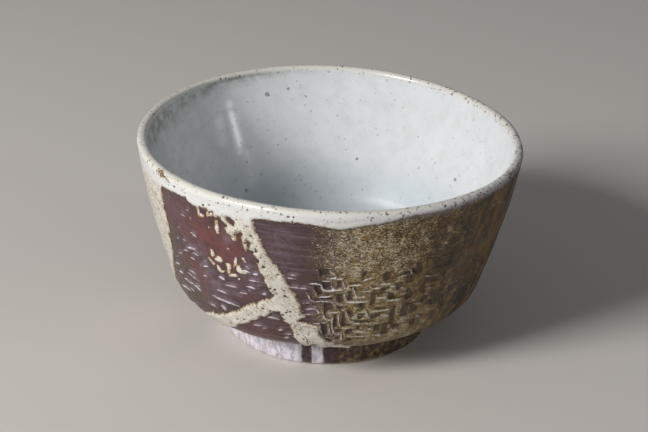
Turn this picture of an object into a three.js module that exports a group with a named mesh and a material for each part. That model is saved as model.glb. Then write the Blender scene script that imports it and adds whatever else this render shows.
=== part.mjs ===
// A hand-thrown stoneware tea bowl, thrown and turned from one piece of clay with its foot ring.
// Millimetres, +Z up. The origin is the centre of the foot ring's underside, on the surface it stands on,
// and -Y is the side whose glaze panels face a viewer.

import * as THREE from "three";

// Outside of the body
const RIM_DIAMETER = 125; // mean, across the outside of the lip
const HEIGHT = 66.3; // mean height of the lip
const SHOULDER_DIAMETER = 102.1; // outside, where the wall starts to turn in
const SHOULDER_HEIGHT = 19.7;
const SHOULDER_POWER = 2.44; // 2 turns as an ellipse does, more turns squarer
const BELLY_SWELL = 1.06; // how far the wall swells out of a straight line at its middle
const BASE_HEIGHT = 5.2; // where the turning-in would reach the axis

// Inside of the body
const LIP_THICKNESS = 3.2;
const LOW_WALL_THICKNESS = 4.8; // at the shoulder
const FLOOR_THICKNESS = 6.4;
const INSIDE_TURN_HEIGHT = 24; // where the inside starts to turn in to the floor
const INSIDE_POWER = 2.5;
const LIP_ROUNDING = 1.7; // height of the rounded top of the lip
const LIP_POWER = 2.3;

// Foot ring
const FOOT_DIAMETER = 68.2; // outside, at the underside
const FOOT_TAPER = 0.9; // how much its outside radius grows towards the body
const FOOT_RING_WIDTH = 6.8; // the ring that it stands on, bevels included
const FOOT_RECESS = 5.6; // depth of the hollow inside the ring
const RECESS_DRAFT = 1.4; // how much the hollow narrows towards its ceiling
const FOOT_OUTER_BEVEL = 0.8;
const FOOT_INNER_BEVEL = 0.7;

// Unevenness that the hand leaves, none of it in the foot and all of it at the lip
const OVAL_SHARE = 0.024; // the longer radius over the mean radius, less one
const OVAL_ANGLE = -53.6; // direction of the longer radius, degrees from +X towards +Y
const RIM_SWAY = 0.56; // the lip rises and falls by this, twice round
const RIM_SWAY_ANGLE = -83;

// Fineness of the facets
const SEGMENTS_ROUND = 80;
const SHOULDER_STEPS = 9;
const WALL_STEPS = 7;
const LIP_STEPS = 8;
const FLOOR_STEPS = 10;
const HALVING_STOP = 1e-5;

const RIM_RADIUS = RIM_DIAMETER / 2;
const FOOT_RADIUS = FOOT_DIAMETER / 2;
const FOOT_TOP_RADIUS = FOOT_RADIUS + FOOT_TAPER;
const FLOOR_HEIGHT = FOOT_RECESS + FLOOR_THICKNESS;
const WALL_TOP = HEIGHT - LIP_ROUNDING;

const radians = THREE.MathUtils.degToRad;

// The outside of the wall without its turning-in: a line from shoulder to rim that swells a little.
function wallRadius(height) {
  const up = (height - SHOULDER_HEIGHT) / (HEIGHT - SHOULDER_HEIGHT);
  const straight = THREE.MathUtils.lerp(SHOULDER_DIAMETER / 2, RIM_RADIUS, up);
  return straight + BELLY_SWELL * 4 * up * (1 - up);
}

// The inside follows the outside at the wall's thickness.
function innerWallRadius(height) {
  const down = THREE.MathUtils.clamp((HEIGHT - height) / (HEIGHT - SHOULDER_HEIGHT), 0, 1);
  return wallRadius(height) - THREE.MathUtils.lerp(LIP_THICKNESS, LOW_WALL_THICKNESS, down);
}

// A point of a quarter superellipse, upright where it starts and flat where it ends on the axis.
function turnIn(share, startHeight, endHeight, power, radiusAt) {
  const angle = (share * Math.PI) / 2;
  const height = startHeight + (endHeight - startHeight) * Math.sin(angle) ** (2 / power);
  const keep = Math.max(Math.cos(angle), 0) ** (2 / power);
  return new THREE.Vector2(radiusAt(height) * keep, height);
}

function outside(share) {
  return turnIn(share, SHOULDER_HEIGHT, BASE_HEIGHT, SHOULDER_POWER, wallRadius);
}

function inside(share) {
  return turnIn(share, INSIDE_TURN_HEIGHT, FLOOR_HEIGHT, INSIDE_POWER, innerWallRadius);
}

// How far round the turning-in the body has come where the foot's outside wall meets it, found by halving.
function shareAtFoot() {
  let [low, high] = [0, 1];
  while (high - low > HALVING_STOP) {
    const middle = (low + high) / 2;
    if (outside(middle).x > FOOT_TOP_RADIUS) low = middle;
    else high = middle;
  }
  return low;
}

function steps(count, make) {
  return Array.from({ length: count + 1 }, (_, i) => make(i / count));
}

function footProfile() {
  const innerRadius = FOOT_RADIUS - FOOT_RING_WIDTH;
  return [
    new THREE.Vector2(0, FOOT_RECESS),
    new THREE.Vector2(innerRadius - RECESS_DRAFT, FOOT_RECESS),
    new THREE.Vector2(innerRadius, FOOT_INNER_BEVEL),
    new THREE.Vector2(innerRadius + FOOT_INNER_BEVEL, 0),
    new THREE.Vector2(FOOT_RADIUS - FOOT_OUTER_BEVEL, 0),
    new THREE.Vector2(FOOT_RADIUS, FOOT_OUTER_BEVEL),
  ];
}

function bodyProfile() {
  const foot = shareAtFoot();
  const shoulder = steps(SHOULDER_STEPS, (u) => outside(foot * (1 - u)));
  const wall = steps(WALL_STEPS, (u) => {
    const height = THREE.MathUtils.lerp(SHOULDER_HEIGHT, WALL_TOP, u);
    return new THREE.Vector2(wallRadius(height), height);
  });
  return [...shoulder, ...wall.slice(1)];
}

// The lip is half a superellipse over the wall's thickness.
function lipProfile() {
  const outer = wallRadius(WALL_TOP);
  const inner = innerWallRadius(WALL_TOP);
  const middle = (outer + inner) / 2;
  return steps(LIP_STEPS, (u) => {
    const angle = u * Math.PI;
    const across = Math.sign(Math.cos(angle)) * Math.abs(Math.cos(angle)) ** (2 / LIP_POWER);
    const up = Math.abs(Math.sin(angle)) ** (2 / LIP_POWER);
    return new THREE.Vector2(middle + (across * (outer - inner)) / 2, WALL_TOP + up * LIP_ROUNDING);
  }).slice(1, -1);
}

function insideProfile() {
  const wall = steps(WALL_STEPS, (u) => {
    const height = THREE.MathUtils.lerp(WALL_TOP, INSIDE_TURN_HEIGHT, u);
    return new THREE.Vector2(innerWallRadius(height), height);
  });
  const floor = steps(FLOOR_STEPS, (u) => inside(u)).slice(1, -1);
  return [...wall, ...floor, new THREE.Vector2(0, FLOOR_HEIGHT)];
}

// Moves each point of the round bowl to where the hand left it.
function makeUneven(geometry) {
  const position = geometry.getAttribute("position");
  const wave = (angle, peak) => Math.cos(2 * (angle - radians(peak)));
  for (let i = 0; i < position.count; i++) {
    const [x, y, z] = [position.getX(i), position.getY(i), position.getZ(i)];
    const angle = Math.atan2(y, x);
    const share = Math.max(z - FLOOR_HEIGHT, 0) / (HEIGHT - FLOOR_HEIGHT);
    const stretch = 1 + OVAL_SHARE * share * wave(angle, OVAL_ANGLE);
    const lift = RIM_SWAY * share ** 2 * wave(angle, RIM_SWAY_ANGLE);
    position.setXYZ(i, x * stretch, y * stretch, z + lift);
  }
  geometry.computeVertexNormals();
  return geometry;
}

function teaBowl() {
  const profile = [...footProfile(), ...bodyProfile(), ...lipProfile(), ...insideProfile()];
  const geometry = new THREE.LatheGeometry(profile, SEGMENTS_ROUND);
  geometry.rotateX(Math.PI / 2);
  const glaze = new THREE.MeshStandardMaterial({ color: 0xc9c6b8, roughness: 0.3, metalness: 0 });
  const mesh = new THREE.Mesh(makeUneven(geometry), glaze);
  mesh.name = "tea_bowl";
  return mesh;
}

const part = new THREE.Group();
part.add(teaBowl());

export default part;
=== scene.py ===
import math
from types import SimpleNamespace

import bpy
import numpy as np
from mathutils import Matrix, Vector, noise


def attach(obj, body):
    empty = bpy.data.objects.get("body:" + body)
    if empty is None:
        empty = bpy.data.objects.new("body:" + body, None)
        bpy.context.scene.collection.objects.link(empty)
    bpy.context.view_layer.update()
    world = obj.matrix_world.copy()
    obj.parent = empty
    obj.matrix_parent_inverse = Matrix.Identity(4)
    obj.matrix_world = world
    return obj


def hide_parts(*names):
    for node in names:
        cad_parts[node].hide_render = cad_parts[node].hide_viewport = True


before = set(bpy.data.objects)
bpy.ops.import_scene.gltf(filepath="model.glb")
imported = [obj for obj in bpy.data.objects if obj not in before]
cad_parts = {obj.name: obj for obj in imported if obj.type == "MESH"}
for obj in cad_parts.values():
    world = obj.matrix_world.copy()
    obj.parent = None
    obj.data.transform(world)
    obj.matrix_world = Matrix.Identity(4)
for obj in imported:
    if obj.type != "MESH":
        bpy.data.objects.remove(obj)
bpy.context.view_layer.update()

bl_info = {
    "name": "Tea bowl",
    "version": (1, 0, 0),
    "blender": (4, 5, 0),
    "location": "3D View > Sidebar > Tea bowl",
    "description": "A thrown stoneware tea bowl with poured glazes and incised clay",
    "category": "Add Mesh",
}

MM = 0.001
FAR = 99.0  # mm, beyond which distances from marks aren't counted

# Every place on the wall is written in millimetres as (round, up): round is the angle from the front
# towards +X times ROUND_RADIUS, and up follows the wall's outside from where it leaves the foot.
ROUND_RADIUS = 55.0
ONCE_ROUND = 2 * math.pi * ROUND_RADIUS

# Spacing of the rows of faces along the outline, and how far up each spacing goes, in metres
ROW_GAPS = [
    (0.0009, 0.0135), (0.00043, 0.0495), (0.00058, 0.066), (0.0006, 0.0722), (0.0016, 0.09), (0.0027, 1),
]
FINE_STEPS = 400  # of the curves that turn in, before the rows are spaced along them

# Inputs of the turning tree, and the size that each one takes
TURNING_INPUTS = {
    "Crowding": "crowding",
    "Crowding angle": "crowding_angle",
    "Oval share": "oval_share",
    "Oval angle": "oval_angle",
    "Sway": "rim_sway",
    "Sway angle": "rim_sway_angle",
    "Floor height": "floor_height",
    "Height": "height",
}

# Lights: name, azimuth from +Y towards +X and elevation in degrees, distance, size, power, tint
LIGHTS = [
    ("window", -128, 31, 1.3, (0.36, 0.4), 17.0, (1, 0.99, 0.98)),
    ("far_door", 112, 18, 1.7, (0.1, 0.5), 2.2, (0.97, 0.98, 1)),
    ("far_wall", 99, 15, 1.7, (0.24, 0.4), 0.75, (0.97, 0.98, 1)),
]
LIGHT_TARGET = (0, 0, 0.04)
SKY = (0.92, 0.95, 1)
SKY_STRENGTH = 0.16
SENSOR_WIDTH = 36
FLOOR_ROUGHNESS = 0.85
REFRACTION = 1.46

# Where bare or dark clay shows between the poured cream glaze
LEFT_PANEL = [
    (-54.5, 63), (-50, 63), (-48, 63.5), (-43.5, 63.5), (-42.5, 62.5), (-40.5, 62), (-39.5, 62),
    (-39, 59.5), (-38.5, 59.5), (-38, 62), (-37.5, 62.5), (-36, 62.5), (-35, 63), (-34.5, 62),
    (-33, 62.5), (-33, 61), (-32, 60.5), (-31, 61), (-30, 60.5), (-28.5, 59), (-29.5, 58), (-29, 57),
    (-28.5, 56), (-27, 55), (-26, 55.5), (-25.5, 57), (-24.5, 57), (-24, 54), (-23.5, 52), (-23, 52),
    (-21, 51.5), (-20.5, 50), (-20, 46), (-19.5, 44), (-18.5, 43), (-18, 41), (-17, 38.5), (-16, 36),
    (-17, 35), (-19, 34), (-20.5, 33), (-21.5, 31), (-22.5, 31.5), (-24, 31), (-24.5, 30), (-25.5, 30),
    (-26.5, 29), (-27.5, 28), (-30, 26), (-33, 24.5), (-35, 23), (-37, 22.5), (-39, 21), (-40.5, 20.5),
    (-42, 21), (-44.5, 19), (-47.5, 18), (-50, 16), (-54, 12), (-58, 6), (-62, -1), (-64, -9.5),
    (-86, -9.5), (-84, 4), (-76, 12.5), (-70, 20), (-66.5, 25), (-64, 29.5), (-61, 32.5), (-59, 36),
    (-58, 38.5), (-57, 41.5), (-57.5, 44), (-56, 46.5), (-56, 50), (-56.5, 54), (-56, 58), (-56, 61.5),
]
LOWER_PANEL = [
    (-14, 30), (-15.5, 29.5), (-17, 29), (-18, 28), (-18.5, 27), (-20, 26), (-21.5, 26), (-21.5, 25),
    (-23.5, 24), (-25, 23.5), (-26, 22.5), (-27, 21.5), (-29, 20.5), (-30.5, 20), (-31, 19),
    (-32.5, 17.5), (-34.5, 16.5), (-36.5, 15), (-39, 15.5), (-42, 10), (-44, 6), (-46, -9.5), (10, -9.5),
    (10, 10.5), (6, 12.5), (1.5, 14), (-3, 14), (-4, 16.5), (-5, 15.5), (-6, 14.5), (-7, 14.5),
    (-8.5, 16.5), (-9.5, 18), (-10.5, 19.5), (-10.5, 22), (-11.5, 24.5), (-13, 26), (-14, 28),
]
RIGHT_FIELD = [
    (-20, 63.5), (-19.5, 61), (-18, 56.5), (-17, 53.5), (-16.5, 52), (-15.5, 50.5), (-13.5, 47.5),
    (-12.5, 45), (-11, 42), (-9.5, 38.5), (-9, 37), (-8.5, 36), (-7.5, 34), (-7, 32.5), (-7, 30.5),
    (-6, 29.5), (-6, 29), (-7, 28.5), (-8, 27.5), (-8, 27), (-6.5, 26.5), (-5, 26.5), (-4, 26),
    (-2.5, 25), (-2, 24), (-2, 22.5), (-1, 21), (0, 20), (1, 18.5), (5, 16), (9.5, 14.5), (10, 10.5),
    (10, -9.5), (250, -9.5), (248, 8), (251, 20), (249, 33), (253, 46), (250, 57), (251, 64), (235, 65.5),
    (215, 66.6), (190, 66), (165, 67), (140, 66.2), (115, 67.6), (90, 67.9), (70, 68.2), (60, 68),
    (50, 67.5), (44, 67.2), (38, 66.9), (34, 66.4), (30, 66.2), (26, 66.1), (22, 66.2), (19, 65.7),
    (16, 65), (13, 64.5), (10, 64.1), (8, 63.6), (6, 63.1), (4, 62.7), (2, 62.9), (0, 63.3), (-2, 63.7),
    (-4, 64), (-6, 64.3), (-9, 64.3), (-12, 64), (-15, 64), (-18, 63.8),
]

# Shards of cream on the left panel
SHARDS = [
    [(-36, 48), (-35, 48), (-34.5, 46), (-36, 45)],
    [(-35, 44.5), (-33.5, 46.5), (-32.5, 46.5), (-31.5, 45), (-33, 44)],
    [(-38, 44.5), (-37, 44.5), (-35, 42.5), (-36, 42)],
    [(-27, 48), (-26.5, 48), (-27, 45), (-28.5, 43.5)],
    [(-34.5, 42.5), (-33.5, 42.5), (-33, 41), (-31.5, 41.5), (-32, 40.5), (-33.5, 40), (-34.5, 40.5)],
    [(-31, 44.5), (-30, 45), (-29, 44.5), (-29.5, 41), (-31, 40.5), (-30.5, 42.5)],
    [(-27, 45), (-26, 45.5), (-25.5, 44), (-23.5, 43.5), (-24, 42.5), (-26, 42), (-27.5, 43)],
    [(-30.5, 40.5), (-28.5, 41.5), (-26.5, 41), (-28, 40), (-30.5, 39.5)],
    [(-25, 48.5), (-24, 48.5), (-23.5, 47), (-24, 46.5)],
    [(-39, 62), (-38, 62), (-38, 60.5), (-36.5, 60), (-37, 59), (-38.5, 59), (-39, 60)],
    [(-35, 62.5), (-34.5, 62), (-34.5, 60.5), (-35.5, 60)],
    [(-34, 62), (-33, 62), (-33.5, 60.5), (-34.5, 60.5)],
    [(-32.5, 60), (-31.5, 60), (-31.5, 55.5), (-32.5, 54.5), (-33, 56.5)],
    [(-35.5, 56.5), (-34.5, 56.5), (-35, 55.5)], [(-28, 55.5), (-26, 56), (-26, 54.5), (-27, 54)],
    [(-24, 54), (-23, 54), (-23, 51.5), (-23.5, 52)], [(-27.5, 40), (-26.5, 40), (-27, 39)],
    [(-30, 51), (-28.5, 50.5), (-29.5, 50)], [(-43, 57), (-42, 57), (-42.5, 56)],
]
# Shards of bare clay in the cream beside it
GAPS = [
    [(-31.5, 61), (-30.5, 61), (-28.5, 59), (-29.5, 58.5), (-31, 59)],
    [(-24.5, 58), (-24, 57.5), (-24.5, 56)],
    [(-28.5, 62), (-27, 62), (-26, 61), (-26.5, 60), (-27.5, 61)],
    [(-22.5, 55.5), (-21.5, 55), (-22, 53), (-22.5, 53)],
    [(-20.5, 49.5), (-19.5, 49), (-19.5, 48), (-20.5, 48)],
]

# Short combed strokes, each a chain of places along its lower edge, which carries a painted highlight
STROKES = [
    [(-53, 59.5), (-52, 59.5)], [(-47, 56.5), (-45, 56.5)], [(-43.5, 59), (-43, 59.5)],
    [(-50, 50.5), (-49, 50.5)], [(-43.5, 51), (-41.5, 50.5)], [(-52, 45.5), (-51, 45.5)],
    [(-48.5, 46.5), (-47, 46.5)], [(-47.5, 44), (-42.5, 45)], [(-44.5, 43), (-42.5, 43)],
    [(-40.5, 42), (-38.5, 42)], [(-54, 39), (-51, 40)], [(-49.5, 42), (-47.5, 42.5)],
    [(-46.5, 40.5), (-44.5, 40.5)], [(-42, 39.5), (-40.5, 39.5), (-38.5, 40.5)], [(-50, 34), (-46, 34)],
    [(-51.5, 32.5), (-48, 32), (-45, 32)], [(-42.5, 35.5), (-39.5, 36)], [(-34.5, 38), (-32.5, 37.5)],
    [(-56, 28), (-51.5, 28)], [(-51, 28.5), (-48, 28), (-46, 27)], [(-54, 25), (-50.5, 25)],
    [(-61.5, 22.5), (-57, 23.5), (-53, 24)], [(-48, 29.5), (-45.5, 28.5)],
    [(-60.5, 17.5), (-58, 17), (-50, 19)], [(-32.5, 35.5), (-28, 36)], [(-37, 32), (-32.5, 32)],
    [(-31.5, 32.5), (-26.5, 32.5)], [(-39.5, 28.5), (-37, 28), (-29, 28)], [(-43.5, 24), (-39, 23.5)],
    [(-27.5, 34), (-25, 34.5)], [(-25, 36), (-23, 36)], [(-24.5, 37.5), (-21.5, 37.5)],
    [(-23, 40.5), (-20, 40.5)], [(-24.5, 45.5), (-22.5, 44.5)], [(-25, 43.5), (-23, 43.5)],
    [(-21.5, 43), (-20.5, 43.5)], [(-21, 39), (-19.5, 39)], [(-19.5, 36), (-18, 36)],
    [(-36.5, 25.5), (-35, 24)], [(-59.5, 32.5), (-56, 33.5)], [(-56.5, 36.5), (-54.5, 37)],
    [(-58.5, 29.5), (-55.5, 30)], [(-24.5, 21.5), (-21.5, 22)], [(-21, 21), (-20, 21.5)],
    [(-19, 26.5), (-15, 26.5)], [(-15.5, 21.5), (-14, 22)], [(-14, 20), (-11, 20.5)],
    [(-13.5, 18), (-12.5, 18.5)], [(-17.5, 29), (-16.5, 29)], [(-11, 45), (-8, 45)],
    [(-12, 44), (-8.5, 44)], [(-10.5, 40.5), (-8, 40.5)], [(-7.5, 40.5), (-5.5, 40.5)],
    [(-7, 34.5), (-4.5, 35)], [(-6, 32), (-3, 32.5)], [(-6, 30), (-3.5, 30)],
]
# The fretted lower field: its thin raised lines and the blocks pressed in between them
FRET_LINES = [
    [(-4.1, 41.1), (-3.7, 40.6), (-3, 38.8), (-2.2, 37.2)], [(-1.9, 37.5), (0, 37.6), (1.2, 37.9)],
    [(-5.8, 39.7), (-5.2, 38), (-4.8, 37), (-4.3, 35.9), (-3.6, 35.5), (-1.8, 35.6)],
    [(-1.8, 35.7), (0.2, 35.8), (2, 35.4), (2.6, 34.6), (3.1, 33), (4.2, 31.8)],
    [(-4.7, 42.6), (-2.6, 42.8), (-1.4, 42.3), (-1.2, 41), (-0.6, 40.2), (1, 40.1), (3, 40.4), (5.4, 40.7)],
    [(-0.4, 45), (1.2, 44.8), (2.2, 45.1), (3.4, 44.7), (4.6, 44.9)],
    [(-1.2, 44), (0.2, 43.8), (1.2, 44)], [(1.3, 42.2), (1.9, 41.2), (2.6, 40.5)],
    [(1, 47.6), (2.2, 46.6), (2.8, 45.4)], [(4.6, 43.6), (5.2, 42.2), (5.5, 41)],
    [(1.8, 38.5), (2.5, 37.3), (3, 36), (3.6, 34.8), (4.2, 34.2), (6, 34.2)],
    [(5.4, 38.6), (5.8, 36.8), (6.5, 35.5), (9, 35.3), (12.4, 35.4)],
    [(7.5, 41.6), (8.4, 39.4), (8.9, 37.9)], [(8.4, 38), (9.4, 37.3), (12.3, 37.3)],
    [(6.4, 42.2), (8.2, 42.2), (9.9, 42.4)], [(0.8, 30.8), (1.4, 31.1), (4.4, 31.3)],
    [(4.4, 31.3), (4.1, 29), (4.3, 26.4), (4.9, 24.9), (6.2, 24.3), (9.6, 24.5)],
    [(-2.8, 32.2), (-2.2, 31.4), (-1.9, 30.6)],
    [(-0.9, 31.6), (-0.6, 30), (-0.1, 28.5), (1, 28.1), (2.2, 28.2)],
    [(1.9, 30.2), (2.3, 28.6), (2.1, 26.6), (2.3, 24.4), (2.8, 22.6), (3.6, 21.8), (5.4, 21.7)],
    [(-5.2, 26.9), (-3.6, 26.4), (-2, 26.4), (-0.8, 26.5)], [(-1.6, 25.6), (-1.5, 23.4), (-1, 21.8)],
    [(0.9, 26.2), (1.3, 24.2), (1.6, 22.2), (2.2, 21.2)],
    [(0, 20.5), (1.2, 20.2), (2.2, 19.5), (3.2, 19.3)], [(5.4, 21.6), (5.4, 20.2), (5.6, 18.8)],
    [(6.8, 20.9), (8.2, 20.4), (10.4, 20.5), (13.2, 20.1)],
    [(6.2, 31.6), (6.6, 30), (7.2, 28.4), (8, 27.2), (9.2, 26.4), (13.6, 25.9), (17.8, 25.4)],
    [(12.2, 31.6), (13, 29.6), (13.5, 28.4)], [(13.8, 30.9), (15.6, 31.2), (18, 31), (21.2, 31.2)],
    [(9.6, 43.6), (11.2, 44.3), (13.4, 44.9)], [(9.4, 39.9), (11.6, 39.5), (14, 39.8)],
    [(13, 40.6), (16, 40.4)], [(14, 42.2), (15.4, 41.6), (17.6, 41.8), (19.9, 42)],
    [(19.4, 44.6), (20.4, 44), (23.4, 44.3)], [(18.4, 35), (20.4, 34.7), (23.6, 34.8)],
    [(22.2, 39.2), (24.2, 38.9)], [(9.2, 31.2), (11.4, 31)], [(22.8, 46.6), (24.4, 45.9), (25, 44.4)],
    [(18, 28.6), (20.4, 28.3)], [(22, 21.6), (24, 21.3), (25.8, 20.3)],
    [(24, 26), (26.2, 25.8), (29.2, 25.2)], [(13.6, 23.6), (15.6, 23.4)], [(28.2, 31.4), (30.8, 30.9)],
    [(26.6, 33.4), (28.6, 33)], [(15, 36.6), (17.9, 36.3)], [(9.8, 22.6), (13.2, 22.2)],
    [(31, 34.6), (33.4, 34.2)], [(29.6, 42.4), (31.4, 41.8)], [(31.6, 37), (33.6, 36.5)],
    [(33, 28.1), (35, 27.4)], [(14.8, 33.4), (17.8, 33.2)], [(30.4, 25.6), (32.2, 24.9)],
    [(11.4, 18.6), (14.6, 18.1)], [(24.8, 31), (26.6, 30.6)], [(22.6, 37), (24.6, 36.7)],
    [(19, 40.5), (20.6, 40.6)], [(26, 23.2), (28.6, 22.6)], [(16.8, 20.4), (19.4, 20)],
    [(22.4, 28.4), (24, 28.2)], [(8.4, 32.9), (10.8, 32.8)], [(9.6, 29.6), (11.8, 29.4)],
]
FRET_BLOCKS = [
    [(-3.4, 41.6), (-1.6, 41.9), (-1, 38.3), (-2.2, 38.2)],
    [(-2.2, 48.2), (0.5, 48.5), (1.1, 46.5), (-1.4, 45.6)],
    [(-1, 43.3), (1.1, 43.4), (1.7, 41), (-0.6, 40.9)],
    [(-1.6, 37), (2.1, 37.1), (2.2, 36.4), (-1.6, 36.3)],
    [(-0.6, 35.1), (1.8, 34.9), (2.7, 32.2), (0.8, 31.7), (-0.3, 30.2)],
    [(2.9, 38.7), (4.8, 38.6), (5.4, 35.3), (4, 35)],
    [(3.2, 43.9), (4.3, 43.8), (4.9, 41.5), (3.2, 41.4)],
    [(6.3, 39.9), (7.6, 39.9), (8.2, 36.5), (6.8, 36.2)],
    [(4.8, 31.7), (6, 31.5), (6.3, 26.3), (8.4, 25.9), (8.2, 25.2), (5.4, 25.1)],
    [(-1.1, 26), (0.3, 26), (1, 22.3), (0.1, 20.9), (-1, 22.2)],
    [(2.6, 30.7), (3.7, 30.5), (3.8, 25), (2.8, 24.7)],
    [(3.3, 23.7), (5.5, 23.9), (5.4, 22.5), (3.7, 22.4)],
    [(3.6, 33.6), (5.6, 33.5), (5.3, 32.2), (4.2, 32.2)],
    [(6.8, 31.9), (8.2, 31.8), (9.4, 29.2), (7.8, 28.9)],
    [(6.9, 23.9), (8.8, 23.9), (9.2, 21.5), (6.6, 21.6)],
    [(0.2, 19.8), (0.4, 18.3), (2.2, 17.4), (2.6, 19.1)],
    [(8.6, 27.7), (12.4, 27.2), (14.8, 26.7), (14.6, 26.3), (9.2, 26.9)],
    [(13.3, 38.4), (14.9, 38.5), (15, 34), (13.5, 33.6)],
    [(16.1, 25), (17.5, 24.8), (17.8, 22.7), (16.1, 22.5)],
    [(20.6, 31), (21.7, 31), (22.3, 24.7), (20.9, 24.5)],
    [(18.9, 25), (19.9, 25.1), (21.1, 20.3), (18.8, 20.1)],
    [(20.7, 41.4), (22.3, 41.6), (22.7, 39.1), (21.1, 38.9)],
    [(22.6, 45.6), (25.4, 46.4), (26, 45), (22.9, 44.8)],
    [(23.7, 43.9), (25.2, 43.3), (25.7, 41.1), (24.1, 41.1)],
    [(24.6, 38.6), (25.8, 37.6), (26.9, 34.7), (24.7, 34.4)],
    [(24.3, 32.7), (26, 32.1), (26.4, 26.9), (24.5, 27.1)],
    [(27, 31.9), (28, 31.4), (30.3, 29.1), (28.1, 28.2)],
    [(29, 38.6), (30.3, 38.3), (31.2, 35.2), (29.7, 36)],
    [(28.8, 24.5), (30.1, 24.5), (30.5, 22.1), (29.1, 22.5)],
    [(32, 47.4), (33.5, 47.1), (34.1, 44.7), (33.1, 45)],
    [(36, 45.7), (37.9, 45.5), (37.7, 44.5), (36.1, 44.5)],
    [(31.5, 40.3), (34.4, 40.5), (34.4, 39.3), (31.6, 39.3)],
    [(18.7, 38.1), (20.1, 37.5), (20.9, 35.5), (18.9, 35.7)],
    [(15.6, 38.6), (18.3, 38.3), (18.2, 37.9), (15.6, 38)],
    [(10, 34.6), (11.8, 34.4), (12.4, 32.2), (10.8, 32.4)],
    [(9.8, 30.2), (11.8, 30.4), (12.4, 28.4), (10.4, 28.2)],
    [(14.2, 29.8), (17.4, 30), (17.2, 28.4), (14.6, 28)],
    [(10.2, 25.2), (11.4, 25), (11, 23.6), (9.9, 23.8)],
    [(22.2, 24), (24.6, 23.4), (24.8, 22.4), (22.3, 22.9)],
    [(10.4, 47.6), (11.6, 47.4), (11.4, 45.9), (10, 46.1)],
    [(16.6, 46.4), (18.2, 46), (18.4, 42.9), (16.4, 43.3)],
    [(26.2, 48.4), (27.6, 47.6), (28.4, 44.4), (26.6, 44.2)],
    [(34.8, 43.6), (36.4, 42.4), (37, 40.8), (35.4, 41.4)],
    [(30.6, 33.8), (32.4, 33.4), (32.8, 32), (31, 32)],
    [(33.2, 31.2), (34.6, 30.6), (35, 29), (33.4, 29.4)],
    [(38.8, 31), (40, 30.2), (41.2, 27), (39.6, 27.2)],
    [(16, 40), (18.6, 40.2), (18.4, 39.3), (16.2, 39.2)], [(4, 20.6), (5, 20.5), (4.9, 19), (3.9, 19.2)],
    [(7, 19.6), (9, 19.5), (9, 18.2), (7.2, 18.2)],
]

# How far the glaze's marks hang below where they were drawn, because the bare clay lies behind the glaze
SETTLE = 0.4

# Cream beads up here, its edge is frayed, the slip fires red or brown there, and is painted with violet
# sheen:
# middle, half width, half height, strength
BEADS = [
    (-6.5, 17.5, 3.4, 4, 1), (-9, 29, 4, 4.5, 0.6), (-20, 29.5, 2.6, 1.8, 0.5),
    (-24.5, 27.2, 2.4, 1.8, 0.6), (-29, 24.2, 2.4, 1.8, 0.6), (-33.5, 21.6, 2.6, 1.8, 0.6),
    (-38.5, 18.8, 2.8, 1.8, 0.5), (-0.5, 15.5, 1.4, 4.5, 0.7), (-27.4, 58, 2, 2.4, 0.5),
]
FRAYED = [
    (-31, 59, 9, 4.5, 1), (-62, 30, 9, 16, 0.35), (30, 67, 16, 4, 0.7), (-57, 50, 2.5, 14, 0.3),
    (-22, 52, 3, 7, 0.9), (-30, 24, 12, 6, 0.25), (-12.8, 27.6, 2.2, 2.6, 1),
]
RED_PATCHES = [
    (-38, 54, 7, 6, 1), (-29, 51, 5, 5, 1), (-51, 58, 6, 5, 0.6), (-24, 16, 12, 5, 1),
    (-12, 25, 4, 3, 0.5), (-43.5, 33, 2.6, 8, 1), (-48, 38, 3.5, 4, 0.7), (-23.5, 55, 2, 5, 0.9),
    (-34, 48, 4, 4, 0.9), (-31, 46, 6, 3, 0.7), (-46, 50, 3, 3, 0.5), (-26, 33, 3, 2.5, 0.5),
    (-34, 30.5, 3, 1.5, 0.5), (-128, 48, 18, 12, 0.8), (-158, 28, 16, 10, 0.7), (160, 56, 12, 9, 0.6),
    (-108, 20, 12, 8, 0.6),
]
# Painted sheen: where the dark slip is painted a lighter violet, as if catching the light
SHEEN_PATCHES = [
    (-40.5, 42.5, 2.8, 6.5, 1), (-36.5, 34, 4.5, 5, 0.9), (-22, 42, 3.2, 6, 1), (-29, 53.5, 1.8, 4, 0.9),
    (-47.5, 45, 4.5, 2.5, 0.5), (-53, 40, 3, 2, 0.4), (-28, 36, 6, 3, 0.5), (-13, 54, 5, 11, 0.7),
    (-50, 28, 6, 2, 0.5), (-20.5, 21.5, 4, 3, 0.5), (-40, 25, 5, 2, 0.5), (-50, 58, 4, 3, 0.3),
    (-146, 58, 16, 6, 0.7), (-115, 34, 12, 6, 0.6), (-168, 42, 10, 10, 0.6), (150, 30, 12, 10, 0.5),
]
UMBER_PATCHES = [
    (-57, 38, 4, 9, 1), (-51, 37, 4, 4, 0.7), (-46, 29, 3, 6, 0.7), (-60, 26, 8, 7, 1),
    (-52, 21, 8, 5, 1), (-42, 24, 5, 3, 0.6), (-55, 48, 2.5, 5, 0.8), (-140, 18, 20, 8, 0.8),
    (-104, 56, 8, 8, 0.7), (170, 20, 14, 10, 0.8), (-6, 44, 4, 14, 0.35), (-3, 55, 3.5, 12, 0.8),
    (-2, 30, 3, 12, 0.5), (-3.2, 12, 1.6, 8, 0.9),
]
BLOOMS = [
    (-104, 75, 15, 4.5, 1), (-90, 74, 10, 6, 0.8), (-124, 73, 16, 2.2, 0.7), (-146, 72, 16, 1.6, 0.5),
    (-60, 74, 18, 2.5, 0.35), (-75, 90, 16, 8, 0.3),
]
# Painted shade inside: where the inside glaze is darkened to a greener grey
SHADED_PATCHES = [
    (-85, 85, 34, 22, 0.9), (-45, 88, 40, 20, 0.9), (-15, 96, 26, 14, 0.6),
]
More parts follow.
